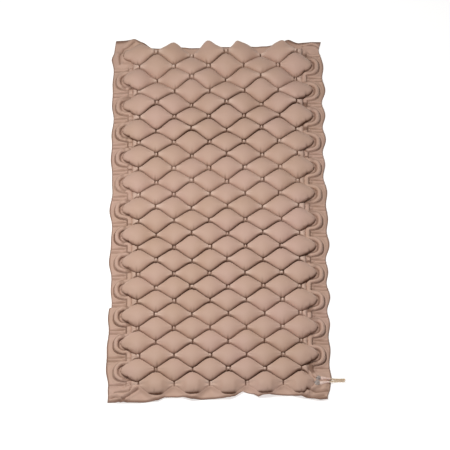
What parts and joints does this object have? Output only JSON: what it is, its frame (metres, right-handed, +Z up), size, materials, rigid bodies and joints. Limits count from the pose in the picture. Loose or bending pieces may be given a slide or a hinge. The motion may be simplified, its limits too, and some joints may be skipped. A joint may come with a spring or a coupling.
{
  "type": "pressure relief mattress",
  "caption": "Inflated two-film air pad with interleaved rows of diamond cells, serpentine side channels and two short inlet tubes at one corner.",
  "frame": {"origin": "on the resting surface, under the middle of the pad; the inlet tubes are not counted", "axes": "+Y along the pad towards its head end, +Z up, +X across the pad towards the side where the inlet tubes leave at the foot end"},
  "size_m": [0.922, 1.89, 0.05],
  "materials": {
    "pvc_film": "satin beige PVC film, welded",
    "port": "translucent grey PVC",
    "sleeve": "glossy welded PVC sleeve",
    "clear_tube": "clear yellowish PVC tube"
  },
  "bodies": {
    "pad_base": {"bottom_sheet": "pvc_film", "weld_web": "pvc_film", "lower_cells_a": "pvc_film", "lower_cells_b": "pvc_film", "left_air_channel": "pvc_film", "right_air_channel": "pvc_film", "left_border": "pvc_film", "right_border": "pvc_film", "head_border": "pvc_film", "foot_border": "pvc_film", "inlet_port_a": "port", "inlet_port_b": "port", "tube_sleeve_a": "sleeve", "tube_sleeve_b": "sleeve", "inlet_tube_a": "clear_tube", "inlet_tube_b": "clear_tube"},
    "circuit_a": {"cell_row_a01": "pvc_film", "cell_row_a02": "pvc_film", "cell_row_a03": "pvc_film", "cell_row_a04": "pvc_film", "cell_row_a05": "pvc_film", "cell_row_a06": "pvc_film", "cell_row_a07": "pvc_film", "cell_row_a08": "pvc_film", "cell_row_a09": "pvc_film", "cell_row_a10": "pvc_film", "cell_row_a11": "pvc_film", "cell_row_a12": "pvc_film", "cell_row_a13": "pvc_film"},
    "circuit_b": {"cell_row_b01": "pvc_film", "cell_row_b02": "pvc_film", "cell_row_b03": "pvc_film", "cell_row_b04": "pvc_film", "cell_row_b05": "pvc_film", "cell_row_b06": "pvc_film", "cell_row_b07": "pvc_film", "cell_row_b08": "pvc_film", "cell_row_b09": "pvc_film", "cell_row_b10": "pvc_film", "cell_row_b11": "pvc_film", "cell_row_b12": "pvc_film", "cell_row_b13": "pvc_film"}
  },
  "joints": [
    {"name": "circuit_a_deflate", "type": "slide", "parent": "pad_base", "child": "circuit_a", "axis": [0, 0, 1], "range_m": [-0.016, 0], "stiffness_N_per_m": 4000, "springref_m": 0.01, "deforming": ["lower_cells_a"]},
    {"name": "circuit_b_deflate", "type": "slide", "parent": "pad_base", "child": "circuit_b", "axis": [0, 0, 1], "range_m": [-0.016, 0], "stiffness_N_per_m": 4000, "springref_m": 0.01, "deforming": ["lower_cells_b"]}
  ]
}
